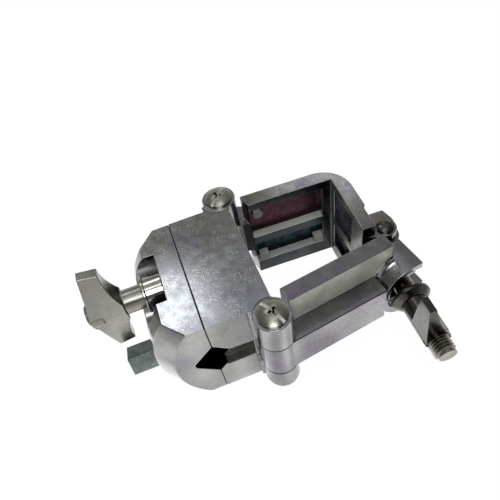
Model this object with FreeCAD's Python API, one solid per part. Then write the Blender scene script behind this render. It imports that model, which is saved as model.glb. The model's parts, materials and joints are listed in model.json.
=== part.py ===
import FreeCAD, Part
import math
import os

from FreeCAD import Vector as V

# Clamp that joins a round rod to a 38.1 mm (1.5 in) square rack tube.
# Origin: centre of the flat face that the square tube seats on.
# +X points out of that face towards the tube, Z runs along the tube.

# square tube and its opening
tube_side = 38.1
tube_clearance = 0.5
opening = tube_side + tube_clearance
half_opening = opening / 2

# hinges, one in front (-Y) and one behind (+Y)
hinge_x = -1.8
hinge_y = 26.6
knuckle_r = 6.0
hinge_pin_r = 2.5
pin_clearance = 0.05
mid_knuckle_top = 7.7
mid_knuckle_bottom = -8.0
knuckle_gap = 0.1
knuckle_relief = 0.35
knuckle_end_round = 3.0

# main body and clamp cap
split_x = -21.8
split_gap = 0.05
body_half_width = 22.8
body_half_height = 20.0
crown = 0.4
knuckle_sink = 0.1
outer_knuckle_top = body_half_height - knuckle_sink
web_left = -8.7
web_front = 25.6

# rod hole, a square hole standing on its corner
rod_half_diagonal = 8.0
rod_tip_round = 2.2

# slot in the side faces between the rod hole and the hinge
side_slot_top = 3.0
side_slot_bottom = -6.0
side_slot_depth = 3.5

# cap nose
nose_centre_x = -7.86
nose_r = 32.4
flank_centre_x = -5.0
flank_r = 30.0
flank_width = 6.6

# wing bolt with its sleeve and washer
wing_bolt_y = 1.5
wing_bolt_z = body_half_height - 6.3
stud_r = 3.5
stud_hole_depth = 15.0
shank_r = 4.15
recess_r = 11.6
recess_floor_x = -29.8
sleeve_r = 5.8
sleeve_length = 6.0
washer_thick = 0.8
washer_r = 6.2
handle_half_span = 19.4
handle_inner_x = -43.6
handle_hollow = 0.9
handle_tip_inner_x = -46.0
handle_tip_outer_x = -52.0
handle_centre_x = -55.1
handle_tip_slant = 1.2
handle_centre_thick = 9.2
handle_tip_thick = 3.2
handle_hub_r = 3.2
handle_hub_out = 1.0

# key bolt with a square head
key_bolt_y = -3.0
key_bolt_z = 5.9 - body_half_height
key_bolt_r = 3.0
key_bolt_depth = 13.0
key_head_side = 7.6
key_head_turn = -21.0
key_head_outer_x = -51.8
key_collar_r = 5.4
key_collar_thick = 1.6
key_bore_r = 5.9
key_floor_x = -34.5
key_washer_thick = 1.0

# tube jaw, the L-shaped one behind
jaw_wall = 5.8
jaw_right_wall = 5.6
jaw_end_wall = 4.7
jaw_step_y = 3.2
jaw_top = body_half_height - 1.1
jaw_bottom = -body_half_height
jaw_corner_r = 11.0
jaw_start_x = 5.6
jaw_start_slant = 1.6
jaw_end_y = -6.95
jaw_rest_turn = -2.85
rim_top = 3.3
mid_rib_top = 1.3
mid_rib = 4.0
bottom_rim_top = -13.4
pocket_depth = 3.3
pocket_left = 7.0
pocket_right = 35.0
side_pocket_low = 1.6
side_pocket_high = 16.5
gusset_reach = 20.0
pad_x = 10.2
pad_z = 12.6
pad_r = 1.9
pad_sink = 0.4
low_pad_side = 3.6

# swing bolt pivot at the end of the tube jaw
pivot_x = 47.9
pivot_y = -4.9
lug_r = 3.9
lug_top = 14.0
lug_bottom = 10.6
lug_back_y = 2.6
lug_back_x = 50.6
barrel_r = 5.0
barrel_half = 10.5
barrel_relief = 0.35
pivot_pin_r = 2.0
pivot_pin_dome = 0.5
pivot_head_r = 3.0
pivot_head_rim = 0.7
pivot_head_dome = 0.9

# swing bolt, its washer and its wing nut
bolt_r = 3.5
bolt_length = 43.4
bolt_end_chamfer = 0.7
nut_start = 20.0
nut_washer_r = 6.8
nut_washer_rim = 1.2
nut_washer_thick = 3.0
nut_hub_r = 4.4
nut_hub_end = 16.4
wing_start = 9.0
wing_end = 18.0
wing_tip_start = 11.4
wing_tip_end = 16.6
wing_reach = 17.3
wing_tip_thick = 2.3
wing_tip_lean = 5.0

# gate jaw, the straight one in front
gate_wall = 5.7
gate_height = body_half_height - 1.1
gate_start_x = 4.6
gate_end_x = 43.2
gate_rest_turn = 7.8
ledge_front = 31.9
ledge_end_x = 36.5
fork_x = 47.2
fork_r = 12.0
fork_front = 31.4
fork_back = 19.4
upper_prong_x = 50.2
lower_prong_x = 54.7
fork_slot_top = 4.0
fork_slot_bottom = -4.2
fork_slot_x = 40.6
dish_r = 9.5
dish_depth = 2.2
boss_cove = 2.5
gate_rim = 4.0

# domed head standing on z = 0, its crown turned in three cones
def domed_head(r, rim, dome):
    profile = [(0, 0), (r, 0), (r, rim)]
    for share in (0.74, 0.4, 0):
        profile.append((r * share, rim + dome * (1 - share ** 2)))
    wire = Part.makePolygon([V(x, 0, z) for x, z in profile + profile[:1]])
    return Part.Face(wire).revolve(V(0, 0, 0), V(0, 0, 1), 360)


# hinge screws
screw_head_r = 4.95
screw_head_rim = 0.7
screw_head_dome = 1.5
screw_length = 36.0

os.makedirs("parts", exist_ok=True)


def box(x0, x1, y0, y1, z0, z1):
    return Part.makeBox(x1 - x0, y1 - y0, z1 - z0, V(x0, y0, z0))


def rod(r, start, end):
    along = end - start
    return Part.makeCylinder(r, along.Length, start, along)


def prism(corners, along):
    wire = Part.makePolygon(corners + corners[:1])
    return Part.Face(wire).extrude(along)


def face_from(edges):
    return Part.Face(Part.Wire(Part.__sortEdges__(edges)))


def arc(a, b, c):
    return Part.Arc(a, b, c).toShape()


def line(a, b):
    return Part.LineSegment(a, b).toShape()


def turned(shape, centre, degrees):
    out = shape.copy()
    out.rotate(centre, V(0, 0, 1), degrees)
    return out


def save(name, shape):
    solid = shape.removeSplitter()
    if len(solid.Solids) == 1:
        solid = solid.Solids[0]
    print(name, solid.isValid(), len(solid.Solids), round(solid.Volume, 1))
    solid.exportStep("parts/" + name + ".step")


front_hinge = V(hinge_x, -hinge_y, 0)
back_hinge = V(hinge_x, hinge_y, 0)
wing_axis = V(0, wing_bolt_y, wing_bolt_z)
key_axis = V(0, key_bolt_y, key_bolt_z)


def crowned_bar(x0, x1):
    # bar along X with a flat bottom and a slightly crowned top
    w = body_half_width
    low = -body_half_height
    edge_top = body_half_height - crown
    edges = [
        line(V(x0, -w, low), V(x0, w, low)),
        line(V(x0, w, low), V(x0, w, edge_top)),
        arc(V(x0, w, edge_top), V(x0, 0, body_half_height), V(x0, -w, edge_top)),
        line(V(x0, -w, edge_top), V(x0, -w, low)),
    ]
    return face_from(edges).extrude(V(x1 - x0, 0, 0))


def rod_hole():
    # square hole on its corner, rounded at both tips
    d = rod_half_diagonal
    w = body_half_width + 1
    corners = [
        V(split_x - d, -w, 0),
        V(split_x, -w, d),
        V(split_x + d, -w, 0),
        V(split_x, -w, -d),
    ]
    hole = prism(corners, V(0, 2 * w, 0))
    tips = [
        e
        for e in hole.Edges
        if abs(e.CenterOfMass.z) < 0.01 and abs(e.CenterOfMass.y) < 0.01
    ]
    return hole.makeFillet(rod_tip_round, tips)


def knuckle(centre, z0, z1, r=knuckle_r):
    return rod(r, V(centre.x, centre.y, z0), V(centre.x, centre.y, z1))


def rounded_knuckle(centre, z0, z1):
    # lower end turned in three steps of a round
    c = knuckle_end_round
    profile = [(0, z1), (0, z0)]
    for degrees in (0, 30, 60, 90):
        a = math.radians(degrees)
        profile.append((knuckle_r - c + c * math.sin(a), z0 + c - c * math.cos(a)))
    profile.append((knuckle_r, z1))
    wire = Part.makePolygon([V(x, 0, z) for x, z in profile + profile[:1]])
    solid = Part.Face(wire).revolve(V(0, 0, 0), V(0, 0, 1), 360)
    solid.translate(V(centre.x, centre.y, 0))
    return solid


# main body
def make_main_body():
    body = crowned_bar(split_x, 0)
    for side in (-1, 1):
        hinge = V(hinge_x, side * hinge_y, 0)
        relief = knuckle(
            hinge, mid_knuckle_bottom, mid_knuckle_top, knuckle_r + knuckle_relief
        )
        upper = knuckle(hinge, mid_knuckle_top, outer_knuckle_top)
        lower = rounded_knuckle(hinge, -body_half_height, mid_knuckle_bottom)
        y_in = side * (body_half_width - 2)
        y_out = side * web_front
        y_low, y_high = min(y_in, y_out), max(y_in, y_out)
        webs = [
            box(web_left, 0, y_low, y_high, mid_knuckle_top, outer_knuckle_top - 0.5),
            box(
                web_left,
                0,
                y_low,
                y_high,
                -body_half_height + knuckle_end_round,
                mid_knuckle_bottom,
            ),
        ]
        body = body.fuse([upper, lower] + webs)
        body = body.cut(relief)
        pin = rod(
            hinge_pin_r,
            V(hinge.x, hinge.y, outer_knuckle_top - screw_length),
            V(hinge.x, hinge.y, outer_knuckle_top + 1),
        )
        y_wall = side * body_half_width
        y_floor = side * (body_half_width - side_slot_depth)
        y_low, y_high = min(y_wall + side, y_floor), max(y_wall + side, y_floor)
        slot = box(
            split_x + 3, web_left, y_low, y_high, side_slot_bottom, side_slot_top
        )
        body = body.cut([pin, slot])
    body = body.cut(rod_hole())
    wing_hole = rod(
        stud_r + pin_clearance,
        wing_axis + V(split_x - 1, 0, 0),
        wing_axis + V(split_x + stud_hole_depth, 0, 0),
    )
    key_hole = rod(
        key_bolt_r + pin_clearance,
        key_axis + V(split_x - 1, 0, 0),
        key_axis + V(split_x + key_bolt_depth, 0, 0),
    )
    return body.cut([wing_hole, key_hole])


# clamp cap
def nose_face(y, centre_x, r):
    h = body_half_height
    x0 = split_x - split_gap
    x_edge = centre_x - math.sqrt(r * r - h * h)
    edges = [
        line(V(x0, y, -h), V(x0, y, h)),
        line(V(x0, y, h), V(x_edge, y, h)),
        arc(V(x_edge, y, h), V(centre_x - r, y, 0), V(x_edge, y, -h)),
        line(V(x_edge, y, -h), V(x0, y, -h)),
    ]
    return Part.Wire(Part.__sortEdges__(edges))


def make_cap():
    w = body_half_width
    inner = w - flank_width
    middle = Part.Face(nose_face(-inner, nose_centre_x, nose_r)).extrude(
        V(0, 2 * inner, 0)
    )
    flanks = []
    for side in (-1, 1):
        wires = [
            nose_face(side * w, flank_centre_x, flank_r),
            nose_face(side * inner, nose_centre_x, nose_r),
        ]
        flanks.append(Part.makeLoft(wires, True, True))
    cap = middle.fuse(flanks)
    cap = cap.common(crowned_bar(split_x - 30, split_x - split_gap))
    cap = cap.cut(rod_hole())
    recess = rod(recess_r, wing_axis + V(recess_floor_x, 0, 0), wing_axis + V(-60, 0, 0))
    stud_bore = rod(stud_r + 0.3, wing_axis, wing_axis + V(-60, 0, 0))
    key_bore = rod(key_bore_r, key_axis + V(key_floor_x, 0, 0), key_axis + V(-60, 0, 0))
    key_stud_bore = rod(key_bolt_r + 0.3, key_axis, key_axis + V(-60, 0, 0))
    return cap.cut([recess, stud_bore, key_bore, key_stud_bore])


# wing bolt
sleeve_outer_x = recess_floor_x - sleeve_length
shank_inner_x = sleeve_outer_x - washer_thick


def make_handle():
    # T-shaped wing seen along Y, arrow-shaped outside and hollow inside
    h = handle_half_span
    y = wing_bolt_y - handle_centre_thick
    z = wing_bolt_z
    tip_in = h - handle_tip_slant
    root = shank_r - 0.2
    middle = (tip_in + root) / 2
    middle_x = (handle_tip_inner_x + handle_inner_x) / 2 - handle_hollow
    outer = V(handle_centre_x, y, z)
    edges = []
    for side in (-1, 1):
        tip_out = V(handle_tip_outer_x, y, z + side * h)
        tip = V(handle_tip_inner_x, y, z + side * tip_in)
        bend = V(middle_x, y, z + side * middle)
        foot = V(handle_inner_x, y, z + side * root)
        edges += [line(outer, tip_out), line(tip_out, tip), arc(tip, bend, foot)]
    edges.append(line(V(handle_inner_x, y, z - root), V(handle_inner_x, y, z + root)))
    plate = face_from(edges).extrude(V(0, 2 * handle_centre_thick, 0))
    # thick in the middle and thinner at both tips
    a = handle_centre_thick / 2
    b = handle_tip_thick / 2
    x = handle_centre_x - 2
    reach = h + 0.01
    outline = [
        V(x, wing_bolt_y - a, z),
        V(x, wing_bolt_y - b, z + reach),
        V(x, wing_bolt_y + b, z + reach),
        V(x, wing_bolt_y + a, z),
        V(x, wing_bolt_y + b, z - reach),
        V(x, wing_bolt_y - b, z - reach),
    ]
    depth = handle_inner_x - x + 2
    wing = plate.common(prism(outline, V(depth, 0, 0)))
    shank = rod(
        shank_r, wing_axis + V(handle_centre_x + 3, 0, 0), wing_axis + V(shank_inner_x, 0, 0)
    )
    bore = rod(stud_r, wing_axis + V(handle_centre_x - 5, 0, 0), wing_axis)
    hub = rod(
        shank_r + 0.6,
        wing_axis + V(handle_centre_x - 0.2, 0, 0),
        wing_axis + V(handle_centre_x + 4, 0, 0),
    )
    return wing.fuse([shank, hub]).cut(bore)


def make_wing_stud():
    start = wing_axis + V(handle_centre_x - handle_hub_out, 0, 0)
    end = wing_axis + V(split_x + stud_hole_depth - 1, 0, 0)
    return rod(stud_r, start, end)


def make_ring(axis, x_outer, x_inner, r, bore):
    ring = rod(r, axis + V(x_outer, 0, 0), axis + V(x_inner, 0, 0))
    hole = rod(bore, axis + V(x_outer - 1, 0, 0), axis + V(x_inner + 1, 0, 0))
    return ring.cut(hole)


# key bolt
def make_key_bolt():
    collar_inner = key_floor_x - key_washer_thick
    collar_outer = collar_inner - key_collar_thick
    half = key_head_side / 2
    head = box(key_head_outer_x, collar_outer, -half, half, -half, half)
    head.rotate(V(0, 0, 0), V(1, 0, 0), key_head_turn)
    head.translate(key_axis)
    collar = rod(key_collar_r, key_axis + V(collar_outer, 0, 0), key_axis + V(collar_inner, 0, 0))
    stud = rod(
        key_bolt_r,
        key_axis + V(collar_inner, 0, 0),
        key_axis + V(split_x + key_bolt_depth - 1, 0, 0),
    )
    return head.fuse([collar, stud])


# hinge screws
def make_hinge_screw(hinge):
    screw = domed_head(screw_head_r, screw_head_rim, screw_head_dome)
    screw = screw.fuse(rod(hinge_pin_r, V(0, 0, 0), V(0, 0, 1 - screw_length)))
    screw.translate(V(hinge.x, hinge.y, outer_knuckle_top))
    return screw


# tube jaw
def jaw_outline(z, height):
    # L-shaped plan with a rounded outer corner and a slanted start
    outer_y = half_opening + jaw_wall
    outer_x = opening + jaw_right_wall
    r = jaw_corner_r
    k = r * (1 - math.sqrt(0.5))
    start = jaw_start_x
    points = [
        V(start, outer_y, z),
        V(outer_x - r, outer_y, z),
        V(outer_x - k, outer_y - k, z),
        V(outer_x, outer_y - r, z),
        V(outer_x, jaw_step_y, z),
        V(opening + jaw_end_wall, jaw_step_y - 1.2, z),
        V(opening + jaw_end_wall, jaw_end_y, z),
        V(opening, jaw_end_y, z),
        V(opening, half_opening, z),
        V(start + jaw_start_slant, half_opening, z),
    ]
    edges = [
        line(points[0], points[1]),
        arc(points[1], points[2], points[3]),
    ]
    for a, b in zip(points[3:], points[4:] + points[:1]):
        edges.append(line(a, b))
    return face_from(edges).extrude(V(0, 0, height))


def make_tube_jaw():
    jaw = jaw_outline(jaw_bottom, jaw_top - jaw_bottom)
    low = mid_knuckle_bottom + knuckle_gap
    high = mid_knuckle_top - knuckle_gap
    outer_y = half_opening + jaw_wall
    top_y = hinge_y + knuckle_r
    # knuckle and the gusset that runs from it along the back wall
    gusset = prism(
        [
            V(hinge_x, hinge_y - knuckle_r * 0.55, low),
            V(hinge_x, top_y, low),
            V(hinge_x + knuckle_r, top_y, low),
            V(hinge_x + gusset_reach, outer_y, low),
            V(hinge_x + gusset_reach, outer_y - 1, low),
            V(jaw_start_x + 1.5, half_opening + 1.5, low),
            V(hinge_x + knuckle_r, half_opening + 2.5, low),
        ],
        V(0, 0, high - low),
    )
    jaw = jaw.fuse([gusset, knuckle(back_hinge, low, high)])
    clear_r = knuckle_r + knuckle_relief
    jaw = jaw.cut(
        [
            knuckle(back_hinge, high, jaw_top + 1, clear_r),
            knuckle(back_hinge, jaw_bottom - 1, low, clear_r),
            knuckle(back_hinge, low - 1, high + 1, hinge_pin_r + pin_clearance),
        ]
    )
    # cored pockets between the ribs of both walls
    bands = [
        (bottom_rim_top, mid_rib_top - mid_rib),
        (mid_rib_top, jaw_top - rim_top),
    ]
    for z0, z1 in bands:
        back = box(
            pocket_left, pocket_right, half_opening - 1, half_opening + pocket_depth, z0, z1
        )
        right = box(
            opening - 1, opening + pocket_depth, side_pocket_low, side_pocket_high, z0, z1
        )
        jaw = jaw.cut([back, right])
    # ejector pads in the pockets, one round and two square
    floor_y = half_opening + pocket_depth + 0.5
    pad_y = half_opening + pad_sink
    pads = [rod(pad_r, V(pad_x, pad_y, pad_z), V(pad_x, floor_y, pad_z))]
    low_z = bottom_rim_top + low_pad_side / 2 - 0.5
    for x in (pad_x, pocket_right - low_pad_side / 2):
        half = low_pad_side / 2
        pads.append(box(x - half, x + half, pad_y, floor_y, low_z - half, low_z + half))
    jaw = jaw.fuse(pads)
    # lugs for the swing bolt
    lug_plan = [
        V(opening + 1, lug_back_y, 0),
        V(lug_back_x, lug_back_y, 0),
        V(pivot_x + lug_r, pivot_y + 3.0, 0),
        V(pivot_x + lug_r, pivot_y, 0),
        V(pivot_x, pivot_y, 0),
        V(pivot_x, pivot_y - lug_r, 0),
        V(opening + 1, jaw_end_y, 0),
    ]
    height = lug_top - lug_bottom
    for z0 in (lug_bottom, -lug_top):
        plate = prism([p + V(0, 0, z0) for p in lug_plan], V(0, 0, height))
        eye = rod(lug_r, V(pivot_x, pivot_y, z0), V(pivot_x, pivot_y, z0 + height))
        jaw = jaw.fuse([plate, eye])
    relief = rod(
        barrel_r + barrel_relief,
        V(pivot_x, pivot_y, -lug_bottom),
        V(pivot_x, pivot_y, lug_bottom),
    )
    pin_hole = rod(
        pivot_pin_r,
        V(pivot_x, pivot_y, -lug_top - 1),
        V(pivot_x, pivot_y, lug_top + 1),
    )
    return jaw.cut([relief, pin_hole])


# swing bolt, along -Y from its pivot
def make_swing_bolt():
    barrel = rod(
        barrel_r, V(pivot_x, pivot_y, -barrel_half), V(pivot_x, pivot_y, barrel_half)
    )
    end_y = pivot_y - bolt_length
    shank = rod(bolt_r, V(pivot_x, pivot_y, 0), V(pivot_x, end_y, 0))
    rim = [e for e in shank.Edges if abs(e.CenterOfMass.y - end_y) < 0.01]
    shank = shank.makeChamfer(bolt_end_chamfer, rim)
    hole = rod(
        pivot_pin_r + pin_clearance,
        V(pivot_x, pivot_y, -barrel_half - 1),
        V(pivot_x, pivot_y, barrel_half + 1),
    )
    return barrel.fuse(shank).cut(hole)


def make_pivot_pin():
    foot = -lug_top - pivot_pin_dome
    pin = rod(pivot_pin_r, V(0, 0, foot), V(0, 0, lug_top))
    rims = [e for e in pin.Edges if abs(e.CenterOfMass.z - foot) < 0.01]
    pin = pin.makeChamfer(pivot_pin_dome, rims)
    head = domed_head(pivot_head_r, pivot_head_rim, pivot_head_dome)
    head.translate(V(0, 0, lug_top))
    pin = pin.fuse(head)
    pin.translate(V(pivot_x, pivot_y, 0))
    return pin


def along_bolt(a, h, z):
    # a along the bolt from the nut's start, h across it, z up
    return V(pivot_x + h, pivot_y - nut_start - a, z)


def make_nut_washer():
    r = nut_washer_r
    edges = [
        line(V(0, 0, 0), V(r, 0, 0)),
        line(V(r, 0, 0), V(r, 0, nut_washer_rim)),
        line(V(r, 0, nut_washer_rim), V(nut_hub_r + 0.5, 0, nut_washer_thick)),
        line(V(nut_hub_r + 0.5, 0, nut_washer_thick), V(0, 0, nut_washer_thick)),
        line(V(0, 0, nut_washer_thick), V(0, 0, 0)),
    ]
    washer = face_from(edges).revolve(V(0, 0, 0), V(0, 0, 1), 360)
    washer = washer.cut(rod(bolt_r + pin_clearance, V(0, 0, -1), V(0, 0, 5)))
    washer.rotate(V(0, 0, 0), V(1, 0, 0), 90)
    washer.translate(along_bolt(0, 0, 0))
    return washer


def make_wing_nut():
    hub = rod(nut_hub_r, along_bolt(nut_washer_thick, 0, 0), along_bolt(nut_hub_end, 0, 0))
    # wing seen along the bolt, one flank straight and the other hollow
    tip_out = wing_tip_lean
    tip_in = wing_tip_lean - wing_tip_thick
    a = wing_start
    foot = along_bolt(a, -0.97 * nut_hub_r, -0.2 * nut_hub_r)
    heel = along_bolt(a, 0.93 * nut_hub_r, 0.3 * nut_hub_r)
    tip = along_bolt(a, -tip_out, wing_reach)
    tip_edge = along_bolt(a, -tip_in, wing_reach)
    hollow = Part.Arc(tip_edge, along_bolt(a, -0.2, 0.52 * wing_reach), heel)
    edges = [line(foot, tip), line(tip, tip_edge), hollow.toShape(), line(heel, foot)]
    wing = face_from(edges).extrude(V(0, wing_start - wing_end, 0))
    # both ends of the wing taper towards its tip
    side = prism(
        [
            along_bolt(wing_start, -9, 0),
            along_bolt(wing_tip_start, -9, wing_reach),
            along_bolt(wing_tip_end, -9, wing_reach),
            along_bolt(wing_end, -9, 0),
        ],
        V(18, 0, 0),
    )
    wing = wing.common(side)
    opposite = wing.copy()
    opposite.rotate(along_bolt(0, 0, 0), V(0, 1, 0), 180)
    nut = hub.fuse([wing, opposite])
    bore = rod(bolt_r + pin_clearance, along_bolt(-1, 0, 0), along_bolt(wing_end + 1, 0, 0))
    return nut.cut(bore)


# gate jaw
def make_gate_jaw():
    low = mid_knuckle_bottom + knuckle_gap
    high = mid_knuckle_top - knuckle_gap
    inner_y = -half_opening
    outer_y = -half_opening - gate_wall
    bar = box(gate_start_x, gate_end_x, outer_y, inner_y, -gate_height, gate_height)
    ledge = box(hinge_x, ledge_end_x, -ledge_front, outer_y + 1, low, high)
    web = prism(
        [
            V(hinge_x, -hinge_y + knuckle_r * 0.55, low),
            V(gate_start_x, inner_y - 2.5, low),
            V(gate_start_x + 2, inner_y - 1, low),
            V(gate_start_x + 2, -ledge_front, low),
            V(hinge_x, -ledge_front, low),
        ],
        V(0, 0, high - low),
    )
    boss = rod(fork_r, V(fork_x, outer_y + 1, 0), V(fork_x, -fork_front, 0))
    # hollow fillet where the boss leaves the wall
    c = boss_cove
    m = c * (1 - math.sqrt(0.5))
    y = outer_y
    cove_edges = [
        line(V(fork_x, y, 0), V(fork_x + fork_r + c, y, 0)),
        arc(
            V(fork_x + fork_r + c, y, 0),
            V(fork_x + fork_r + m, y - m, 0),
            V(fork_x + fork_r, y - c, 0),
        ),
        line(V(fork_x + fork_r, y - c, 0), V(fork_x, y - c, 0)),
        line(V(fork_x, y - c, 0), V(fork_x, y, 0)),
    ]
    cove = face_from(cove_edges).revolve(V(fork_x, 0, 0), V(0, 1, 0), 360)
    boss = boss.fuse(cove)
    boss = boss.common(
        box(ledge_end_x - 8, gate_end_x, -fork_front, outer_y + 1, -gate_height, gate_height)
    )
    round_end = rod(fork_r, V(fork_x, -fork_front, 0), V(fork_x, -fork_back, 0)).common(
        box(gate_end_x - 1, fork_x, -fork_front, -fork_back, -fork_r, fork_r)
    )
    upper = box(fork_x, upper_prong_x, -fork_front, -fork_back, 0, fork_r)
    lower = box(fork_x, lower_prong_x, -fork_front, -fork_back, -fork_r, 0)
    gate = bar.fuse([ledge, web, boss, round_end, upper, lower, knuckle(front_hinge, low, high)])
    clear_r = knuckle_r + knuckle_relief
    slot = box(fork_slot_x, lower_prong_x + 1, -ledge_front - 1, 0, fork_slot_bottom, fork_slot_top)
    dish = rod(dish_r, V(fork_x, -fork_front - 1, 0), V(fork_x, -fork_front + dish_depth, 0))
    gate = gate.cut(
        [
            knuckle(front_hinge, high, gate_height + 1, clear_r),
            knuckle(front_hinge, -gate_height - 1, low, clear_r),
            knuckle(front_hinge, low - 1, high + 1, hinge_pin_r + pin_clearance),
            slot,
            dish,
        ]
    )
    # cored pockets inside, as in the other jaw
    bands = [(-gate_height + gate_rim, -mid_rib / 2), (mid_rib / 2, gate_height - gate_rim)]
    for z0, z1 in bands:
        pocket = box(
            pocket_left, pocket_right, inner_y - pocket_depth, inner_y + 1, z0, z1
        )
        gate = gate.cut(pocket)
    return gate


jaw_pivot = V(hinge_x, hinge_y, 0)
gate_pivot = V(hinge_x, -hinge_y, 0)

save("main_body", make_main_body())
save("clamp_cap", make_cap())
save("wing_bolt_handle", make_handle())
save("wing_bolt_stud", make_wing_stud())
save(
    "wing_bolt_sleeve",
    make_ring(wing_axis, sleeve_outer_x, recess_floor_x, sleeve_r, stud_r + pin_clearance),
)
save(
    "wing_bolt_washer",
    make_ring(wing_axis, shank_inner_x, sleeve_outer_x, washer_r, stud_r + pin_clearance),
)
save("key_bolt", make_key_bolt())
save(
    "key_bolt_washer",
    make_ring(
        key_axis,
        key_floor_x - key_washer_thick,
        key_floor_x,
        key_collar_r,
        key_bolt_r + pin_clearance,
    ),
)
save("front_hinge_screw", make_hinge_screw(front_hinge))
save("back_hinge_screw", make_hinge_screw(back_hinge))
save("tube_jaw", turned(make_tube_jaw(), jaw_pivot, jaw_rest_turn))
save("swing_bolt", turned(make_swing_bolt(), jaw_pivot, jaw_rest_turn))
save("swing_bolt_pin", turned(make_pivot_pin(), jaw_pivot, jaw_rest_turn))
save("nut_washer", turned(make_nut_washer(), jaw_pivot, jaw_rest_turn))
save("wing_nut", turned(make_wing_nut(), jaw_pivot, jaw_rest_turn))
save("gate_jaw", turned(make_gate_jaw(), gate_pivot, gate_rest_turn))
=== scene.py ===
import json
import math

import bmesh
import bpy
from mathutils import Matrix, Vector


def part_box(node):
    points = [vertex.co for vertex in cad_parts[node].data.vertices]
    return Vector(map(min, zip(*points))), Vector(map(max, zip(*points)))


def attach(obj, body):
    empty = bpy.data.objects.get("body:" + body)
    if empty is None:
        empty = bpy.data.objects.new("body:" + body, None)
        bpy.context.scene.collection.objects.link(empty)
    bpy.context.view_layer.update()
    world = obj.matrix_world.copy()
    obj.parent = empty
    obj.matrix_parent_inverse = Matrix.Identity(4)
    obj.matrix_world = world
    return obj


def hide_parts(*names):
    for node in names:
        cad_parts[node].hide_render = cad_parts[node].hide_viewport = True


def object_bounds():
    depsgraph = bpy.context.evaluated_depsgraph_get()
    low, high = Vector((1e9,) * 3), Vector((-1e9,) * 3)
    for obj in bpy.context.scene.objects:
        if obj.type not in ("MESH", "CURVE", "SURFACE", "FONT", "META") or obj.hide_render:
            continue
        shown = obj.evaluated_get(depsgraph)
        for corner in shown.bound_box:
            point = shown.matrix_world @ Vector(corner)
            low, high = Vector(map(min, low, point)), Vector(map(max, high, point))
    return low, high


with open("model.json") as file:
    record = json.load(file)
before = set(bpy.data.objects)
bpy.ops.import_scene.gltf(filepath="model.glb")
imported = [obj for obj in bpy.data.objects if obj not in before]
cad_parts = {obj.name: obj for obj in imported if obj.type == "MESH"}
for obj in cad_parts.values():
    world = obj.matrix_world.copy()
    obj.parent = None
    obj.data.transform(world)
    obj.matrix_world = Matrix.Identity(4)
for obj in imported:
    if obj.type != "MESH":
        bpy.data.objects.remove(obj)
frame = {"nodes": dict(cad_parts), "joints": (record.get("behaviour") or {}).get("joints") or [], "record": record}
cad_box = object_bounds()
nodes = frame["nodes"]
joints = {joint["name"]: joint for joint in frame["joints"]}
scene = bpy.context.scene
MM = 0.001


# camera, at the photograph's viewpoint
camera_place = Vector((-17.85, -100.22, 140.93)) * MM
camera_tilt = (39.1207, 7.7923, -19.9318)
focal_length = 34.89
sensor_width = 36.0
nearest_seen = 0.005
farthest_seen = 20.0

lens = bpy.data.cameras.new("camera")
lens.lens = focal_length
lens.sensor_width = sensor_width
lens.clip_start = nearest_seen
lens.clip_end = farthest_seen
camera = bpy.data.objects.new("camera", lens)
camera.location = camera_place
camera.rotation_euler = [math.radians(angle) for angle in camera_tilt]
scene.collection.objects.link(camera)
scene.camera = camera


# colours and shader nodes
def colour(hex_value):
    # sRGB hex to the linear values that the shaders take
    linear = []
    for i in (0, 2, 4):
        part = int(hex_value[i:i + 2], 16) / 255
        linear.append(part / 12.92 if part <= 0.04045 else ((part + 0.055) / 1.055) ** 2.4)
    return (*linear, 1.0)


def add(tree, kind, links=None, values=None, **settings):
    # one node with its settings, its fixed inputs and its links
    node = tree.nodes.new(kind)
    for name, value in settings.items():
        setattr(node, name, value)
    for socket, value in (values or {}).items():
        node.inputs[socket].default_value = value
    for socket, source in (links or {}).items():
        tree.links.new(source, node.inputs[socket])
    return node


def ramp_stops(ramp, stops):
    # sets a colour ramp's stops, each with its place and its hex colour
    band = ramp.color_ramp
    while len(band.elements) < len(stops):
        band.elements.new(0.5)
    for element, (place, hex_value) in zip(band.elements, stops):
        element.position = place
        element.color = colour(hex_value)


# for every finish: where its tones lie on the noise that mixes them, the size of its rubbed
# spots, and the parts of the noises that grain, rubbed spots and patches of painted glints take up
first_tone = 0.32
tone_span = 0.36
rub_mm = 3.0
grain_band = (0.3, 0.7)
rub_band = (0.35, 0.65)
patch_band = (0.4, 0.56)


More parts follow.
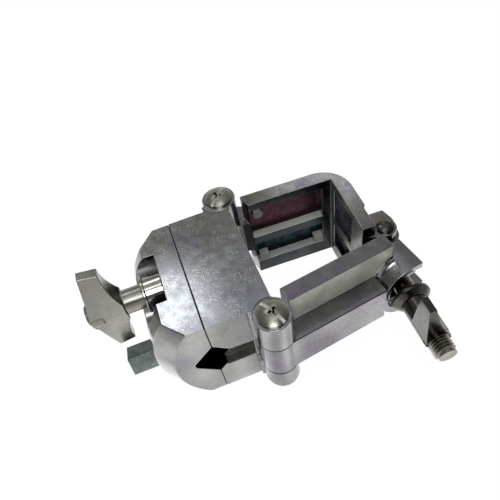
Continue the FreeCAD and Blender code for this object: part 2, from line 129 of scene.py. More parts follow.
def plated_metal(
    name,
    tones,
    roughness,
    tone_mm=14.0,
    wave_mm=14.0,
    wave_height_mm=0.008,
    grain_mm=0.5,
    grain_height_mm=0.0015,
    mottle=0.12,
    metallic=1.0,
    sparkle=None,
):
    # tones are the plate's colours, laid over it in soft clouds; the real grain is too fine
    # to show, so it is drawn half a millimetre wide
    material = bpy.data.materials.new(name)
    material.use_nodes = True
    tree = material.node_tree
    shader = tree.nodes["Principled BSDF"]
    shader.inputs["Metallic"].default_value = metallic
    place = add(tree, "ShaderNodeTexCoord").outputs["Object"]
    clouds = add(
        tree,
        "ShaderNodeTexNoise",
        {"Vector": place},
        {"Scale": 1 / (tone_mm * MM), "Detail": 3.0, "Roughness": 0.55},
    )
    ramp = add(tree, "ShaderNodeValToRGB", {"Fac": clouds.outputs["Fac"]})
    last = len(tones) - 1
    ramp_stops(ramp, [(first_tone + tone_span * i / last, tone) for i, tone in enumerate(tones)])
    # fine mottling of the plate, about as large as its grain
    grain = add(
        tree,
        "ShaderNodeTexNoise",
        {"Vector": place},
        {"Scale": 1 / (grain_mm * MM), "Detail": 2.0},
    )
    shades = add(
        tree,
        "ShaderNodeMapRange",
        {"Value": grain.outputs["Fac"]},
        {
            "From Min": grain_band[0],
            "From Max": grain_band[1],
            "To Min": 1.0 - mottle,
            "To Max": 1.0 + mottle,
        },
    )
    mottled = add(
        tree,
        "ShaderNodeMix",
        {"A": ramp.outputs["Color"], "B": shades.outputs["Result"]},
        {"Factor": 1.0},
        data_type="RGBA",
        blend_type="MULTIPLY",
    )
    base = mottled.outputs["Result"]
    if sparkle:
        base = painted_glints(tree, place, base, **sparkle)
    tree.links.new(base, shader.inputs["Base Color"])
    # rubbed spots, a little duller than the rest
    rub = add(
        tree,
        "ShaderNodeTexNoise",
        {"Vector": place},
        {"Scale": 1 / (rub_mm * MM), "Detail": 4.0},
    )
    dull = add(
        tree,
        "ShaderNodeMapRange",
        {"Value": rub.outputs["Fac"]},
        {
            "From Min": rub_band[0],
            "From Max": rub_band[1],
            "To Min": roughness[0],
            "To Max": roughness[1],
        },
    )
    tree.links.new(dull.outputs["Result"], shader.inputs["Roughness"])
    # long waves of the polished casting, then its fine grain
    wave = add(
        tree,
        "ShaderNodeTexNoise",
        {"Vector": place},
        {"Scale": 1 / (wave_mm * MM), "Detail": 1.0},
    )
    waves = add(
        tree,
        "ShaderNodeBump",
        {"Height": wave.outputs["Fac"]},
        {"Strength": 1.0, "Distance": wave_height_mm * MM},
    )
    grains = add(
        tree,
        "ShaderNodeBump",
        {"Height": grain.outputs["Fac"], "Normal": waves.outputs["Normal"]},
        {"Strength": 1.0, "Distance": grain_height_mm * MM},
    )
    tree.links.new(grains.outputs["Normal"], shader.inputs["Normal"])
    return material


def painted_glints(tree, place, base, size_mm, reach, rank, patch_mm):
    # painted glints: bright points painted into the plate's colour, in loose patches
    cells = add(
        tree,
        "ShaderNodeTexVoronoi",
        {"Vector": place},
        {"Scale": 1 / (size_mm * MM)},
    )
    near = add(
        tree,
        "ShaderNodeMapRange",
        {"Value": cells.outputs["Distance"]},
        {"From Min": reach, "From Max": reach / 2},
    )
    draw = add(tree, "ShaderNodeSeparateColor", {"Color": cells.outputs["Color"]})
    picked = add(
        tree,
        "ShaderNodeMath",
        {0: draw.outputs["Red"]},
        {1: rank},
        operation="GREATER_THAN",
    )
    patches = add(
        tree,
        "ShaderNodeTexNoise",
        {"Vector": place},
        {"Scale": 1 / (patch_mm * MM), "Detail": 2.0},
    )
    where = add(
        tree,
        "ShaderNodeMapRange",
        {"Value": patches.outputs["Fac"]},
        {"From Min": patch_band[0], "From Max": patch_band[1]},
    )
    points = add(
        tree,
        "ShaderNodeMath",
        {0: near.outputs["Result"], 1: picked.outputs["Value"]},
        operation="MULTIPLY",
    )
    share = add(
        tree,
        "ShaderNodeMath",
        {0: points.outputs["Value"], 1: where.outputs["Result"]},
        operation="MULTIPLY",
    )
    lit = add(
        tree,
        "ShaderNodeMix",
        {"Factor": share.outputs["Value"], "A": base},
        {"B": colour("ffffff")},
        data_type="RGBA",
    )
    return lit.outputs["Result"]


# chrome plate on a polished zinc die casting: grey with faint violet and olive clouds
cast_chrome = plated_metal(
    "chrome_plated_casting",
    ("86838a", "8f8f8f", "989892", "8c8a91"),
    (0.15, 0.24),
    tone_mm=22.0,
)
# its top, a slightly lighter and bluer plate, with painted glints: bright points painted into its colour
glinting_top_chrome = plated_metal(
    "top_chrome_with_painted_glints",
    ("8e8c98", "97989a", "9b9da0", "93919e"),
    (0.17, 0.27),
    tone_mm=22.0,
    wave_height_mm=0.003,
    grain_height_mm=0.0006,
    sparkle={"size_mm": 0.5, "reach": 0.3, "rank": 0.35, "patch_mm": 9.0},
)
# the same plate on the jaws, a little darker, with a fine mottle instead of points
jaw_chrome = plated_metal(
    "chrome_plated_jaw",
    ("7d7785", "88848b", "91908f", "877f8e"),
    (0.14, 0.24),
    tone_mm=20.0,
    mottle=0.22,
)
# painted shade and dark reflection on the inner sides, nearly black with a violet hue
inner_painted_shade = plated_metal(
    "inner_side_painted_shade",
    ("2a2830", "3a3a3c", "34383a", "2a2832"),
    (0.22, 0.36),
    tone_mm=9.0,
)
# the short inner side, with painted light: lighter, with an olive hue
side_painted_light = plated_metal(
    "olive_side_painted_light",
    ("5a5860", "74766b", "888a80"),
    (0.26, 0.38),
    tone_mm=8.0,
    mottle=0.2,
    metallic=0.5,
)
# the upper cored pocket, with a painted reflection in its shade: a dull red
red_painted_reflection = plated_metal(
    "red_pocket_painted_reflection",
    ("1c1a22", "35222a", "40262c", "262024"),
    (0.24, 0.36),
    tone_mm=7.0,
)
# the lower cored pocket, with a painted reflection in its shade: a dark blue green
teal_painted_reflection = plated_metal(
    "teal_pocket_painted_reflection",
    ("12141c", "12242a", "18302e", "161826"),
    (0.24, 0.36),
    tone_mm=7.0,
)
# crests of the ribs, dull, with painted light: pale among the painted shade of the inner sides
crest_painted_light = plated_metal(
    "rib_crest_painted_light",
    ("c6c8bf", "d6d8cf", "e2e3dc"),
    (0.45, 0.60),
    tone_mm=12.0,
    metallic=0.15,
)
# the pads that the ejector pins leave, duller and darker than the crests
pad_skin = plated_metal(
    "ejector_pad_skin",
    ("7a7a80", "88888a", "949494"),
    (0.40, 0.55),
    tone_mm=5.0,
    metallic=0.2,
)
# painted shade, nearly black, in the bore, on the joint faces and in the gaps of the knuckles
painted_dark_shade = plated_metal(
    "bore_and_gaps_painted_shade",
    ("16181e", "1d1f26", "24252a"),
    (0.35, 0.50),
    tone_mm=6.0,
)
# the recess beside the rod hole, duller, with painted shade: a darker grey that mirrors little
recess_painted_shade = plated_metal(
    "side_recess_painted_shade",
    ("56564f", "62625b", "6c6c66"),
    (0.34, 0.46),
    tone_mm=5.0,
    metallic=0.35,
)
# the gate's upper wall, dull, with painted light: pale with a green grey hue
wall_painted_light = plated_metal(
    "gate_wall_painted_light",
    ("a8aa9c", "bcbeb1", "cccec4"),
    (0.30, 0.42),
    tone_mm=9.0,
    mottle=0.14,
    metallic=0.2,
)
# the step along the gate, in painted shade: dark with a brown red hue like a cored face
step_painted_shade = plated_metal(
    "brown_step_painted_shade",
    ("241b20", "30222a", "2a2226"),
    (0.22, 0.34),
    tone_mm=8.0,
    mottle=0.2,
)
# satin nickel plate on the wing bolt's handle, evenly pale and slightly warm
satin_nickel = plated_metal(
    "satin_nickel_plate",
    ("83817a", "8a8882", "928f88"),
    (0.24, 0.34),
    tone_mm=16.0,
    mottle=0.06,
)
# worn nickel on the wing nut, its washer and the pivot pin, darker than the handle's
worn_nickel = plated_metal(
    "worn_nickel_plate",
    ("403e3a", "4e4c47", "5c5a54"),
    (0.16, 0.28),
    tone_mm=7.0,
)
# nickel on the swing bolt, painted darker all over to stand for the shade between its threads
thread_nickel_painted_shade = plated_metal(
    "nickel_thread_painted_shade",
    ("6e6a62", "7d786f", "8c877d"),
    (0.12, 0.22),
    tone_mm=4.0,
)
# bright nickel plate on turned steel, nearly a mirror
bright_nickel = plated_metal(
    "bright_nickel_plate",
    ("9e9a92", "aaa69e", "b6b2aa"),
    (0.10, 0.20),
    tone_mm=9.0,
    wave_height_mm=0.004,
    mottle=0.06,
)
# the same nickel on the screw heads, tumbled to a softer gloss
screw_nickel = plated_metal(
    "tumbled_nickel_plate",
    ("86827a", "928e86", "9e9a92"),
    (0.24, 0.34),
    tone_mm=5.0,
    wave_height_mm=0.004,
    mottle=0.1,
)
# the screws' slots, pale and dull, with painted light caught in them
slot_painted_light = plated_metal(
    "screw_slot_painted_light",
    ("dcd8ce", "e6e2d8", "eeeae2"),
    (0.30, 0.42),
    tone_mm=3.0,
    metallic=0.25,
)
# clear zinc plate on the key bolt and the stud, greenish grey and speckled
zinc_steel = plated_metal(
    "clear_zinc_plate",
    ("525a57", "626966", "727974"),
    (0.22, 0.36),
    tone_mm=5.0,
    grain_height_mm=0.006,
    mottle=0.25,
)


# mesh helpers
sharp_angle = 32.0
merge_mm = 0.002
flat_angle = 0.6
bevel_steps = 3


def new_piece(name, bm, material, body, node=None, smooth_angle=sharp_angle):
    # closes a bmesh into a piece that rides on a body, and stands for a CAD node
    mesh = bpy.data.meshes.new(name)
    bm.to_mesh(mesh)
    bm.free()
    piece = bpy.data.objects.new(name, mesh)
    scene.collection.objects.link(piece)
    mesh.materials.append(material)
    shade(piece, smooth_angle)
    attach(piece, body)
    if node:
        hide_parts(node)
    return piece


def shade(piece, smooth_angle):
    # smooth inside each face of the part, sharp where two faces meet
    bm = bmesh.new()
    bm.from_mesh(piece.data)
    for face in bm.faces:
        face.smooth = True
    for edge in bm.edges:
        if len(edge.link_faces) == 2:
            edge.smooth = edge.calc_face_angle(0.0) < math.radians(smooth_angle)
    bm.to_mesh(piece.data)
    bm.free()
    # the large faces keep their own normal, so that they mirror as flat faces
    weigh = piece.modifiers.new("weigh", "WEIGHTED_NORMAL")
    weigh.keep_sharp = True
    bake(piece)


def bake(piece):
    # a piece's mesh takes on what its modifiers make
    view = bpy.context.evaluated_depsgraph_get()
    result = bpy.data.meshes.new_from_object(piece.evaluated_get(view))
    piece.modifiers.clear()
    piece.data = result


def merged_copy(node):
    # a CAD node's mesh is loose triangles: its copy is merged into flat faces
    bm = bmesh.new()
    bm.from_mesh(nodes[node].data)
    bmesh.ops.remove_doubles(bm, verts=bm.verts, dist=merge_mm * MM)
    bmesh.ops.dissolve_limit(
        bm,
        angle_limit=math.radians(flat_angle),
        use_dissolve_boundaries=False,
        verts=bm.verts,
        edges=bm.edges,
    )
    return bm


def eased(bm, width_mm, choose=None, clamp=False):
    # rounds the sharp edges of a piece, or those of them that choose() picks
    edges = [
        edge
        for edge in bm.edges
        if len(edge.link_faces) == 2
        and edge.calc_face_angle(0.0) > math.radians(sharp_angle)
        and (choose is None or choose(edge))
    ]
    bmesh.ops.bevel(
        bm,
        geom=edges,
        offset=width_mm * MM,
        offset_type="OFFSET",
        segments=bevel_steps,
        profile=0.5,
        affect="EDGES",
        material=-1,
        clamp_overlap=clamp,
    )
    return bm


def body_of(node):
    # the moving body that a CAD node belongs to
    for body, members in frame["record"]["behaviour"]["bodies"].items():
        if node in members:
            return body
    return "root"


def softened(node, material, width_mm, choose=None, clamp=False, smooth_angle=sharp_angle):
    # a CAD node's copy with rounded edges and its finish, in the node's place
    bm = eased(merged_copy(node), width_mm, choose=choose, clamp=clamp)
    return new_piece(node + "_eased", bm, material, body_of(node), node, smooth_angle)


def cut(piece, cutter):
    # takes a cutter's shape out of a piece
    tool = bpy.data.objects.new("cutter", bpy.data.meshes.new("cutter"))
    cutter.to_mesh(tool.data)
    cutter.free()
    scene.collection.objects.link(tool)
    trim = piece.modifiers.new("cut", "BOOLEAN")
    trim.operation = "DIFFERENCE"
    trim.solver = "EXACT"
    trim.object = tool
    bake(piece)
    bpy.data.objects.remove(tool)
    shade(piece, sharp_angle)


def block(size_mm, place_mm, turn):
    # a box for cutting, turned about the upright axis
    bm = bmesh.new()
    bmesh.ops.create_cube(bm, size=1.0)
    bmesh.ops.scale(bm, vec=Vector(size_mm) * MM, verts=bm.verts)
    turned = Matrix.Rotation(math.radians(turn), 3, "Z")
    bmesh.ops.rotate(bm, cent=(0, 0, 0), matrix=turned, verts=bm.verts)
    bmesh.ops.translate(bm, vec=Vector(place_mm) * MM, verts=bm.verts)
    return bm


def paint(piece, material, chosen):
    # one more finish, on the faces that chosen() picks by centre and normal
    mesh = piece.data
    mesh.materials.append(material)
    slot = len(mesh.materials) - 1
    for face in mesh.polygons:
        if chosen(face.center / MM, face.normal):
            face.material_index = slot


# the jaws hold a square tube, and their faces are told apart by where they lie round it
opening = 38.6
half_opening = opening / 2
rib_depth = 3.3
step_z = 7.6
inner_from_x = 4.0
pocket_lip = 0.2
rear_pocket_y = 23.0
side_pocket_x = 43.0
side_pocket_from_y = -1.0
side_pocket_to_y = 19.0
pocket_top = 16.0
tube_jaw_fold = 2.85
gate_jaw_fold = -7.8
hinges = {
    "tube_jaw": (Vector(joints["tube_jaw_hinge"]["pos_m"]) / MM, tube_jaw_fold),
    "gate_jaw": (Vector(joints["gate_jaw_hinge"]["pos_m"]) / MM, gate_jaw_fold),
}


def squared(point, jaw):
    # a point of a jaw, as it lies when the jaws stand square and hold a tube
    hinge, degrees = hinges[jaw]
    return hinge + Matrix.Rotation(math.radians(degrees), 3, "Z") @ (point - hinge)


def squared_way(way, jaw):
    # a direction in a jaw, in the same stand
    return Matrix.Rotation(math.radians(hinges[jaw][1]), 3, "Z") @ way


# faces and edges lie within these of the places that pick them
hair = 0.05
slack = 0.1
wide_slack = 0.3

# side walls, webs, fork and collar, where strips are too narrow for a rounded edge
wall_y = 22.8
top_z = 19.0
web_x = -8.7
fork_face_x = 43.2
sliver_y = -19.5
fork_top = 14.2
fork_foot_x = 36.5
fork_floor_y = -31.4
collar_x = -37.1


def outside_pockets(edge):
    # the cored pockets keep the crisp edges that their cores leave
    p = squared((edge.verts[0].co + edge.verts[1].co) / 2 / MM, "tube_jaw")
    rear = half_opening + pocket_lip < p.y < rear_pocket_y and inner_from_x < p.x < opening
    level = side_pocket_from_y < p.y < side_pocket_to_y
    side = level and opening + pocket_lip < p.x < side_pocket_x
    return not (rear or side) or abs(p.z) > pocket_top


def clear_of_webs(edge):
    # the side walls' rims run too close to the hinge webs to be rounded
    ends = [vert.co / MM for vert in edge.verts]
    on_wall = all(abs(abs(p.y) - wall_y) < hair for p in ends)
    rim = all(abs(p.z) > top_z for p in ends)
    root = all(abs(p.x - web_x) < hair for p in ends)
    return not (on_wall and (rim or root))


def clear_of_fork(edge):
    # the slivers beside the fork and under it are too narrow to be rounded
    ends = [squared(vert.co / MM, "gate_jaw") for vert in edge.verts]
    on_face = all(abs(p.x - fork_face_x) < slack for p in ends)
    beside = on_face and all(p.y > sliver_y or abs(p.z) < fork_top for p in ends)
    on_foot = all(abs(p.x - fork_foot_x) < slack for p in ends)
    under = on_foot and all(abs(p.y - fork_floor_y) < hair for p in ends)
    return not (beside or under)


def clear_of_collar(edge):
    # the square head's corners reach the rim of the collar that it stands on
    return not all(abs(vert.co.x / MM - collar_x) < hair for vert in edge.verts)


# castings, with the small rounds along their edges
edge_round = 0.3
handle_round = 0.35
handle_smooth = 14.0
nut_round = 0.4
nut_washer_round = 0.2

main_body = softened("main_body", cast_chrome, edge_round, choose=clear_of_webs)
clamp_cap = softened("clamp_cap", cast_chrome, edge_round)
gate_jaw = softened("gate_jaw", jaw_chrome, edge_round, choose=clear_of_fork)
tube_jaw = softened("tube_jaw", jaw_chrome, edge_round, choose=outside_pockets)
softened("wing_bolt_handle", satin_nickel, handle_round, smooth_angle=handle_smooth)
softened("wing_nut", worn_nickel, nut_round, clamp=True)
softened("nut_washer", worn_nickel, nut_washer_round, clamp=True)

# turned and plated steel
sleeve_round = 0.25
washer_round = 0.15
stud_round = 0.3
key_round = 0.4

softened("wing_bolt_sleeve", bright_nickel, sleeve_round)
softened("wing_bolt_washer", bright_nickel, washer_round)
softened("wing_bolt_stud", zinc_steel, stud_round)
softened("key_bolt", zinc_steel, key_round, choose=clear_of_collar)
softened("key_bolt_washer", zinc_steel, washer_round)


# second finishes on the jaws, mostly painted shade, reflection and light; a face points a way when its normal has
# this much of it
facing = 0.6
facing_well = 0.9
jaw_foot_z = -19.0
red_pocket = (1.3, 13.6)
teal_pocket = (-13.4, -2.7)
pocket_slack = 0.6
rib_top = 15.0
pad_sink = 0.4
pad_sink_slack = 0.35
near_pad_x = 10.2
far_pad_x = 33.2
high_pad_z = 12.6
high_pad_reach = 2.0
low_pad_reach = 1.9
low_pads_z = -10.0
step_slack = 0.5
step_from_x = 6.0
step_to_x = 37.0
step_y = -25.2
upper_wall_y = (-26.0, -24.0)
upper_wall_to_x = 40.0


def inside_tube_jaw(centre, normal):
    p = squared(centre, "tube_jaw")
    n = squared_way(normal, "tube_jaw")
    deep = half_opening - slack < p.y < half_opening + rib_depth + wide_slack
    back = n.y < -facing and deep and p.x > inner_from_x
    right = n.x < -facing and opening - slack < p.x < opening + rib_depth + wide_slack
    under = n.z < -facing and p.x < opening + rib_depth and p.z > jaw_foot_z
    return back or right or under


def inside_gate_jaw(centre, normal):
    p = squared(centre, "gate_jaw")
    n = squared_way(normal, "gate_jaw")
    deep = -half_opening - rib_depth - wide_slack < p.y < -half_opening + slack
    return n.y > facing and deep and p.x > inner_from_x


def pocket_wall(low, high):
    # faces of a cored pocket's rear wall between two heights
    def chosen(centre, normal):
        p = squared(centre, "tube_jaw")
        deep = abs(p.y - half_opening - rib_depth) < pocket_slack
        return normal.y < -facing and deep and low < p.z < high and inner_from_x < p.x < opening

    return chosen


def rib_crest(centre, normal):
    # tops of the ribs between the pockets
    p = squared(centre, "tube_jaw")
    along = inner_from_x < p.x < opening + rib_depth
    deep = half_opening - slack < p.y < rear_pocket_y
    return normal.z > facing and along and deep and p.z < rib_top


def ejector_pad(centre, normal):
    # the shallow round pads on the inner rear wall
    p = squared(centre, "tube_jaw")
    sunk = normal.y < -facing and abs(p.y - half_opening - pad_sink) < pad_sink_slack
    near_side = abs(p.x - near_pad_x)
    far_side = abs(p.x - far_pad_x)
    high = near_side < high_pad_reach and abs(p.z - high_pad_z) < high_pad_reach
    low = p.z < low_pads_z and min(near_side, far_side) < low_pad_reach
    return sunk and (high or low)


def side_wall(centre, normal):
    p = squared(centre, "tube_jaw")
    n = squared_way(normal, "tube_jaw")
    return n.x < -facing and abs(p.x - opening) < wide_slack


def gate_step(centre, normal):
    # the step that runs along the gate's outer side
    p = squared(centre, "gate_jaw")
    level = normal.z > facing and abs(p.z - step_z) < step_slack
    return level and p.y < step_y and step_from_x < p.x < step_to_x


def gate_upper_wall(centre, normal):
    p = squared(centre, "gate_jaw")
    n = squared_way(normal, "gate_jaw")
    low_y, high_y = upper_wall_y
    on_wall = n.y < -facing_well and low_y < p.y < high_y
    return on_wall and p.z > step_z and p.x < upper_wall_to_x


paint(tube_jaw, inner_painted_shade, inside_tube_jaw)
paint(tube_jaw, side_painted_light, side_wall)
paint(tube_jaw, red_painted_reflection, pocket_wall(*red_pocket))
paint(tube_jaw, teal_painted_reflection, pocket_wall(*teal_pocket))
paint(tube_jaw, crest_painted_light, rib_crest)
paint(tube_jaw, pad_skin, ejector_pad)
paint(gate_jaw, inner_painted_shade, inside_gate_jaw)
paint(gate_jaw, step_painted_shade, gate_step)
paint(gate_jaw, wall_painted_light, gate_upper_wall)


# second finishes on the body and the cap, and the gaps between the knuckles: painted glints on the tops, and
# painted shade in the side recess, in the bore, along the joint and in the knuckle gaps
split_x = -21.8
seam_half = 0.22
bore_half = 8.1
sideways = 0.3
upwards = 0.95
flat = 0.97
hinge_axis = Vector((-1.8, 26.6))
knuckle_r = 6.0
upper_gap_z = 7.7
lower_gap_z = -8.0
gap_half = 0.27
recess_x = (-18.9, -8.6)
recess_y = (19.2, 22.7)
recess_z = (-6.1, 3.1)


def top_face(centre, normal):
    return normal.z > upwards and centre.z > top_z


def side_recess(centre, normal):
    # the recess between the rod hole and the hinge, on both sides
    along = recess_x[0] < centre.x < recess_x[1]
    deep = recess_y[0] < abs(centre.y) < recess_y[1]
    return along and deep and recess_z[0] < centre.z < recess_z[1]


def knuckle_gap(centre, normal):
    # the gaps between the knuckles, painted as thin dark lines of shade
    from_axis = (Vector((centre.x, abs(centre.y))) - hinge_axis).length
    to_gap = min(abs(centre.z - upper_gap_z), abs(centre.z - lower_gap_z))
    return from_axis < knuckle_r + slack and to_gap < gap_half and abs(normal.z) < flat


def joint_or_bore(centre, normal):
    # the joint faces with a thin painted dark line along their edges, and the rod's bore in painted shade
    from_split = abs(centre.x - split_x)
    bore = abs(normal.y) < sideways and from_split + abs(centre.z) < bore_half
    return from_split < seam_half or bore


paint(main_body, glinting_top_chrome, top_face)
paint(clamp_cap, glinting_top_chrome, top_face)
paint(main_body, recess_painted_shade, side_recess)
paint(main_body, painted_dark_shade, knuckle_gap)
paint(tube_jaw, painted_dark_shade, knuckle_gap)
paint(gate_jaw, painted_dark_shade, knuckle_gap)
paint(main_body, painted_dark_shade, joint_or_bore)
paint(clamp_cap, painted_dark_shade, joint_or_bore)


# turned heads
ring_steps = 64
dome_steps = 10
rim_break = 0.12
close_mm = 0.001


def domed_pin(name, node, material, r, rim, dome, shaft_r):
    # head and shaft spun round their axis from half a profile, point by point
    low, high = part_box(node)
    foot = low.z / MM
    top = high.z / MM
    ball_r = (r * r + dome * dome) / (2 * dome)
    under_head = top - dome - rim
    profile = [(0.0, foot), (shaft_r, foot), (shaft_r, under_head), (r, under_head)]
    profile.append((r, top - dome - rim_break))
    widest = math.asin(r / ball_r)
    for i in range(dome_steps + 1):
        angle = widest * (1 - i / dome_steps)
        profile.append((ball_r * math.sin(angle), top - ball_r + ball_r * math.cos(angle)))
    bm = bmesh.new()
    corners = [bm.verts.new((x * MM, 0.0, z * MM)) for x, z in profile]
    edges = [bm.edges.new(pair) for pair in zip(corners, corners[1:])]
    bmesh.ops.spin(
        bm,
        geom=corners + edges,
        cent=(0, 0, 0),
        axis=(0, 0, 1),
        angle=2 * math.pi,
        steps=ring_steps,
        use_merge=True,
    )
    bmesh.ops.remove_doubles(bm, verts=bm.verts, dist=close_mm * MM)
    middle = (low + high) / 2
    bmesh.ops.translate(bm, vec=(middle.x, middle.y, 0.0), verts=bm.verts)
    bmesh.ops.recalc_face_normals(bm, faces=bm.faces)
    return new_piece(name, bm, material, body_of(node), node)


pin_head = {"r": 3.0, "rim": 0.7, "dome": 0.9, "shaft_r": 2.0}
domed_pin("domed_pivot_pin", "swing_bolt_pin", worn_nickel, **pin_head)


# hinge screws, each with a slot across its head and a cross recess
screw_head = {"r": 4.95, "rim": 0.7, "dome": 1.5, "shaft_r": 2.5}
slot_length = 12.0
slot_width = 1.1
slot_depth = 1.75
cross_width = 0.8
cross_span = 2.9
cross_depth = 2.3
cross_rim = 0.3
thin = 0.02
level = 0.99
upright = 0.5
slot_turns = {"front_hinge_screw": -64.4, "back_hinge_screw": 47.0}


def lit_slot_faces(centre, top, turn):
    # floor and walls of the slot
    across = Vector((-math.sin(math.radians(turn)), math.cos(math.radians(turn))))
    half = slot_width / 2

    def chosen(spot, normal):
        off = abs((spot.xy - centre.xy).dot(across))
        inside = off < half + thin and top - slot_depth - thin < spot.z < top - thin
        return inside and (off > half - thin or normal.z > level)

    return chosen


def cross_faces(centre, top):
    # floor and walls of the cross recess
    foot = top - cross_depth - slack

    def chosen(spot, normal):
        near = (spot.xy - centre.xy).length < cross_span / 2 + slack
        sunk = abs(normal.z) < upright or spot.z < top - slot_depth - slack
        return near and sunk and foot < spot.z < top - cross_rim

    return chosen


for screw, turn in slot_turns.items():
    low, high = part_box(screw)
    centre = (low + high) / 2 / MM
    top = high.z / MM
    place = (centre.x, centre.y, top)
    head = domed_pin("slotted_" + screw, screw, screw_nickel, **screw_head)
    cut(head, block((slot_length, slot_width, 2 * slot_depth), place, turn))
    # the slot's floor and walls take painted light
    paint(head, slot_painted_light, lit_slot_faces(centre, top, turn))
    cut(head, block((cross_span, cross_width, 2 * cross_depth), place, turn))
    cut(head, block((cross_span, cross_width, 2 * cross_depth), place, turn + 90))
    # painted shade in the cross recess
    paint(head, painted_dark_shade, cross_faces(centre, top))


# swing bolt with its rolled thread
pivot = Vector(joints["swing_bolt_swing"]["pos_m"])
bolt_way = Vector(joints["nut_travel"]["axis"])
bolt_reach = 43.4
bolt_sides = 48
core_start = 2.0
thread_pitch = 1.0
thread_crest = 3.5
thread_core = 3.0
thread_start = 5.2
thread_stop = 1.4
thread_shift = 0.5
steps_per_turn = 24
barrel_r = 5.0
barrel_height = 21.0
barrel_sides = 64
barrel_round = 0.5
# shares of half the pitch that the ridge takes at its root, its foot and its crest
root_share = 0.98
foot_share = 0.9
crest_share = 0.16
root_sink = 0.3


def thread_ridge(bm, turns):
    # a ridge with a flattened crest, spun up its helix from the bolt's foot
    half = thread_pitch / 2
    profile = [
        (thread_core - root_sink, -root_share * half),
        (thread_core, -foot_share * half),
        (thread_crest, -crest_share * half),
        (thread_crest, crest_share * half),
        (thread_core, foot_share * half),
        (thread_core - root_sink, root_share * half),
    ]
    corners = [bm.verts.new((r * MM, 0.0, z * MM)) for r, z in profile]
    first = bm.faces.new(corners)
    bmesh.ops.spin(
        bm,
        geom=[first] + list(first.edges) + corners,
        cent=(0, 0, 0),
        axis=(0, 0, 1),
        dvec=(0, 0, thread_pitch * MM / steps_per_turn),
        angle=2 * math.pi * turns,
        steps=int(turns * steps_per_turn),
        use_duplicate=False,
    )


bolt = bmesh.new()
thread_ridge(bolt, (bolt_reach - thread_start - thread_stop) / thread_pitch)
bmesh.ops.translate(bolt, vec=(0, 0, (thread_start + thread_shift) * MM), verts=bolt.verts)
bmesh.ops.create_cone(
    bolt,
    cap_ends=True,
    segments=bolt_sides,
    radius1=thread_core * MM,
    radius2=thread_core * MM,
    depth=(bolt_reach - core_start) * MM,
    matrix=Matrix.Translation((0, 0, (bolt_reach + core_start) / 2 * MM)),
)
to_bolt = bolt_way.to_track_quat("Z", "Y").to_matrix().to_4x4()
bmesh.ops.transform(bolt, matrix=Matrix.Translation(pivot) @ to_bolt, verts=bolt.verts)
bmesh.ops.recalc_face_normals(bolt, faces=bolt.faces)

barrel = bmesh.new()
bmesh.ops.create_cone(
    barrel,
    cap_ends=True,
    segments=barrel_sides,
    radius1=barrel_r * MM,
    radius2=barrel_r * MM,
    depth=barrel_height * MM,
    matrix=Matrix.Translation(pivot),
)
eased(barrel, barrel_round)
barrel_mesh = bpy.data.meshes.new("barrel")
barrel.to_mesh(barrel_mesh)
barrel.free()
bolt.from_mesh(barrel_mesh)
new_piece("threaded_swing_bolt", bolt, thread_nickel_painted_shade, "swing_bolt", "swing_bolt")


# floor: white paper, which glows to the camera and in reflections and still takes the shadow
floor_gap = 0.05
floor_size = 6.0
own_light = 0.95
mirrored_light = 0.55
seen_glow = 1.03
near_m = 0.06
near_glow = 1.03
far_m = 0.24
far_glow = 0.3
shade_scale = 45.0
shade_range = {"From Min": 0.38, "From Max": 0.56, "To Min": 1.15, "To Max": 2.2}

floor_bm = bmesh.new()
bmesh.ops.create_grid(floor_bm, x_segments=1, y_segments=1, size=floor_size / 2)
floor_mesh = bpy.data.meshes.new("floor")
floor_bm.to_mesh(floor_mesh)
floor_bm.free()
floor = bpy.data.objects.new("floor", floor_mesh)
floor.location = (0, 0, cad_box[0][2] - floor_gap * MM)
scene.collection.objects.link(floor)

paper = bpy.data.materials.new("white_studio_paper")
paper.use_nodes = True
tree = paper.node_tree
tree.nodes.clear()
dull_white = add(tree, "ShaderNodeBsdfDiffuse", values={"Color": colour("f4f4f4")})
ray = add(tree, "ShaderNodeLightPath")
# painted shade in what the plate mirrors: the paper's glow there fades with the distance from the part
spot = add(tree, "ShaderNodeTexCoord").outputs["Object"]
distance = add(tree, "ShaderNodeVectorMath", {0: spot}, operation="LENGTH")
fade = add(
    tree,
    "ShaderNodeMapRange",
    {"Value": distance.outputs["Value"]},
    {"From Min": near_m, "From Max": far_m, "To Min": near_glow, "To Max": far_glow},
)
# and is broken by painted soft shades, as of objects standing round it
shade_noise = add(
    tree,
    "ShaderNodeTexNoise",
    {"Vector": spot},
    {"Scale": shade_scale, "Detail": 1.0},
)
cast_shades = add(tree, "ShaderNodeMapRange", {"Value": shade_noise.outputs["Fac"]}, shade_range)
broken = add(
    tree,
    "ShaderNodeMath",
    {0: fade.outputs["Result"], 1: cast_shades.outputs["Result"]},
    operation="MULTIPLY",
)
strength = add(
    tree,
    "ShaderNodeMix",
    {"Factor": ray.outputs["Is Camera Ray"], "A": broken.outputs["Value"]},
    {"B": seen_glow},
    data_type="FLOAT",
)
glow = add(
    tree,
    "ShaderNodeEmission",
    {"Strength": strength.outputs["Result"]},
    {"Color": (1, 1, 1, 1)},
)
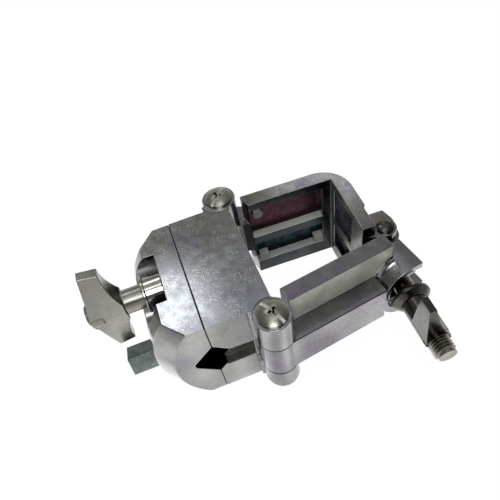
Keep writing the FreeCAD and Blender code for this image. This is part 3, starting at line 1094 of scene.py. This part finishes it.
# how much of the paper's look is its glow: most for the camera, part in the plate's mirror
seen = add(
    tree,
    "ShaderNodeMath",
    {0: ray.outputs["Is Camera Ray"], 1: ray.outputs["Is Transmission Ray"]},
    operation="MAXIMUM",
)
seen_part = add(
    tree,
    "ShaderNodeMath",
    {0: seen.outputs["Value"]},
    {1: own_light},
    operation="MULTIPLY",
)
mirrored_part = add(
    tree,
    "ShaderNodeMath",
    {0: ray.outputs["Is Glossy Ray"]},
    {1: mirrored_light},
    operation="MULTIPLY",
)
glowing = add(
    tree,
    "ShaderNodeMath",
    {0: seen_part.outputs["Value"], 1: mirrored_part.outputs["Value"]},
    operation="MAXIMUM",
)
look = add(
    tree,
    "ShaderNodeMixShader",
    {
        "Fac": glowing.outputs["Value"],
        1: dull_white.outputs["BSDF"],
        2: glow.outputs["Emission"],
    },
)
add(tree, "ShaderNodeOutputMaterial", {"Surface": look.outputs["Shader"]})
floor_mesh.materials.append(paper)


# studio room, pale near the floor and at its zenith and grey between, with a dark camera side
room_tones = [
    (0.0, "f2f2f2"),
    (0.2, "d8d8d8"),
    (0.5, "8c8c8c"),
    (0.7, "94927f"),
    (0.8, "98989f"),
    (0.9, "c4c4c8"),
]
behind_range = {"From Min": -0.25, "From Max": 0.1, "To Min": 0.0, "To Max": 1.0}
foot_range = {"From Min": 0.12, "From Max": 0.35, "To Min": 1.0, "To Max": 0.32}

world = bpy.data.worlds.new("studio_room")
scene.world = world
world.use_nodes = True
tree = world.node_tree
tree.nodes.clear()
way = add(tree, "ShaderNodeTexCoord").outputs["Generated"]
parts = add(tree, "ShaderNodeSeparateXYZ", {"Vector": way})
room = add(tree, "ShaderNodeValToRGB", {"Fac": parts.outputs["Z"]})
ramp_stops(room, room_tones)
# the wall behind the camera is dark above its foot
behind = add(tree, "ShaderNodeMapRange", {"Value": parts.outputs["Y"]}, behind_range)
foot = add(tree, "ShaderNodeMapRange", {"Value": parts.outputs["Z"]}, foot_range)
dark_wall = add(
    tree,
    "ShaderNodeMath",
    {0: behind.outputs["Result"], 1: foot.outputs["Result"]},
    operation="MAXIMUM",
)
sky = add(
    tree,
    "ShaderNodeBackground",
    {"Color": room.outputs["Color"], "Strength": dark_wall.outputs["Value"]},
)
add(tree, "ShaderNodeOutputWorld", {"Surface": sky.outputs["Background"]})


# four soft boxes: place and target in metres, width and height, and watts
daylight = (0.94, 0.98, 1.0)
soft_boxes = {
    "overhead_soft_box": ((-0.10, 0.35, 0.55), (-0.02, 0.0, 0.0), (0.14, 0.14), 0.24),
    "ceiling_soft_box": ((0.0, -0.08, 0.60), (0.0, 0.0, 0.0), (0.30, 0.12), 0.28),
    "camera_side_soft_box": ((-0.08, -0.25, 0.37), (0.02, 0.0, 0.0), (0.2, 0.2), 0.6),
    "back_soft_box": ((0.25, 0.53, 0.50), (0.03, 0.0, 0.0), (0.16, 0.16), 0.10),
}

for name, (place, target, size, watts) in soft_boxes.items():
    light = bpy.data.lights.new(name, "AREA")
    light.shape = "RECTANGLE"
    light.size, light.size_y = size
    light.energy = watts
    light.color = daylight
    lamp = bpy.data.objects.new(name, light)
    lamp.location = place
    aim = Vector(target) - Vector(place)
    lamp.rotation_euler = aim.to_track_quat("-Z", "Y").to_euler()
    scene.collection.objects.link(lamp)

scene.view_settings.view_transform = "Standard"
